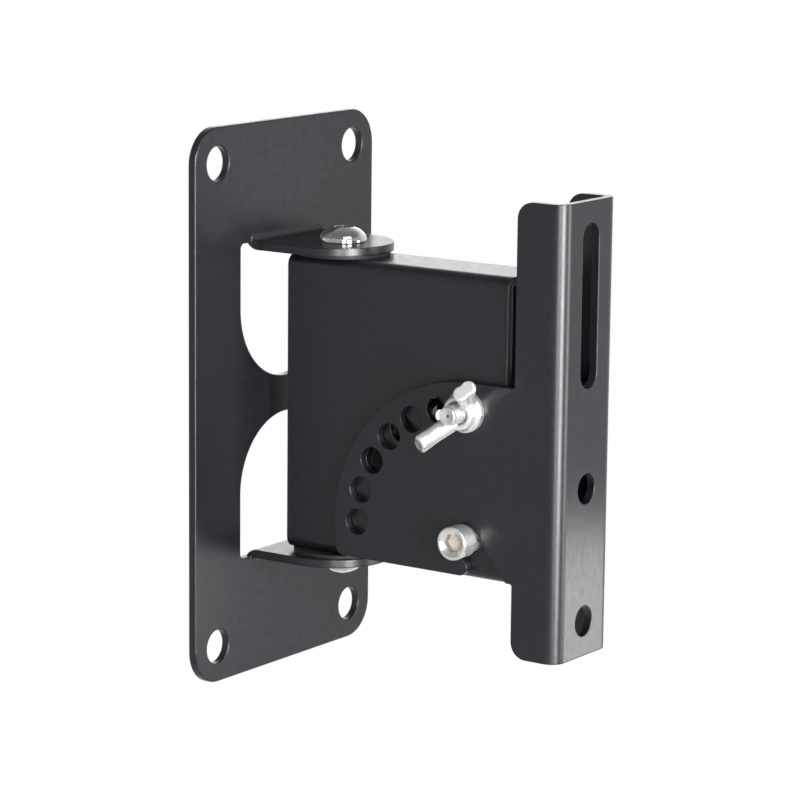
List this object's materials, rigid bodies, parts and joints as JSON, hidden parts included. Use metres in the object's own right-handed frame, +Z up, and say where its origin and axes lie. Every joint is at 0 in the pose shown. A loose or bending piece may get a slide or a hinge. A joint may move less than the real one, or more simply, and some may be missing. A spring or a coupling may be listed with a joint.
{
  "type": "speaker wall bracket",
  "caption": "Black steel loudspeaker wall bracket: plate with folded ears, swivelling box arm and a tilting channel with index cheeks, locked by a wing nut.",
  "frame": {"origin": "middle of the wall plate's back face, between its two windows", "axes": "+Z up, -Y out of the wall towards the loudspeaker, wall plane is y = 0; the wing nut is on -X"},
  "size_m": [0.09, 0.112, 0.17],
  "materials": {
    "black_coat": "satin black powder coat with a fine texture",
    "bright_plating": "bright nickel or zinc plating",
    "nylon": "matt black"
  },
  "bodies": {
    "wall_side": {"wall_plate": "black_coat"},
    "arm": {"swivel_arm": "black_coat", "upper_swivel_screw": "bright_plating", "lower_swivel_screw": "bright_plating", "upper_glide_washer": "nylon", "lower_glide_washer": "nylon", "upper_nut_washer": "bright_plating", "lower_nut_washer": "bright_plating", "upper_swivel_nut": "bright_plating", "lower_swivel_nut": "bright_plating", "upper_nut_insert": "nylon", "lower_nut_insert": "nylon", "tilt_screw": "bright_plating", "tilt_sleeve": "bright_plating", "tilt_washer": "bright_plating", "tilt_nut": "bright_plating", "tilt_nut_insert": "nylon", "lock_bolt": "bright_plating"},
    "speaker_side": {"speaker_bracket": "black_coat"},
    "clamp": {"clamp_washer": "bright_plating"},
    "wing": {"wing_nut": "bright_plating"}
  },
  "joints": [
    {"name": "arm_swivel", "type": "hinge", "parent": "wall_side", "child": "arm", "pos_m": [0, -0.0238, 0], "axis": [0, 0, 1], "range_deg": [-72, 75]},
    {"name": "bracket_tilt", "type": "hinge", "parent": "arm", "child": "speaker_side", "pos_m": [0, -0.0795, -0.0331], "axis": [1, 0, 0], "range_deg": [0, 90]},
    {"name": "clamp_slide", "type": "slide", "parent": "arm", "child": "clamp", "axis": [-1, 0, 0], "range_m": [0, 0.003]},
    {"name": "wing_nut_turn", "type": "hinge", "parent": "clamp", "child": "wing", "pos_m": [-0.0164, -0.0795, 0.0054], "axis": [-1, 0, 0], "range_deg": [0, 1080]}
  ],
  "couplings": [
    {"joint": "clamp_slide", "follows": "wing_nut_turn", "m_per_rad": 0.00015915}
  ]
}
